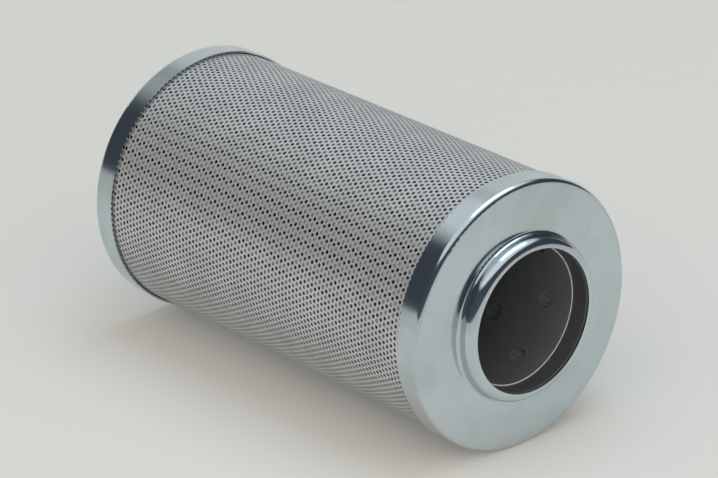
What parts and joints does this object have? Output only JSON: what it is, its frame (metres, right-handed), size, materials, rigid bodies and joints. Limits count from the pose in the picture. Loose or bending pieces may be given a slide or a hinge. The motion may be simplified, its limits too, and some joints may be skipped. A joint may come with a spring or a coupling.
{
  "type": "pleated filter element",
  "caption": "Cylindrical pleated oil filter element with a perforated sleeve, plated end caps, a blind end and a raised collar round its outlet.",
  "frame": {"origin": "centre of the closed end's face, on which the element stands", "axes": "+Z along the element's axis, from the closed end to the open end; +X through the pleated pack's seam"},
  "size_m": [0.13, 0.13, 0.2375],
  "materials": {
    "zinc": "bright zinc plating, smooth",
    "sleeve": "light grey coating, semi-matt",
    "mesh": "woven mesh, light grey",
    "glass_fibre": "glass-fibre mat, matt",
    "steel_strip": "plain steel strip",
    "coated_steel": "black coating, matt",
    "adhesive": "cast adhesive",
    "rubber": "moulded nitrile rubber"
  },
  "bodies": {
    "root": {"closed_end_cap": "zinc", "open_end_cap": "zinc", "neck_seal": "rubber", "outer_sleeve": "sleeve", "outer_support_mesh": "mesh", "filter_medium": "glass_fibre", "drainage_mesh": "mesh", "seam_clip": "steel_strip", "core_tube": "coated_steel", "closed_end_adhesive": "adhesive", "open_end_adhesive": "adhesive"}
  },
  "joints": []
}
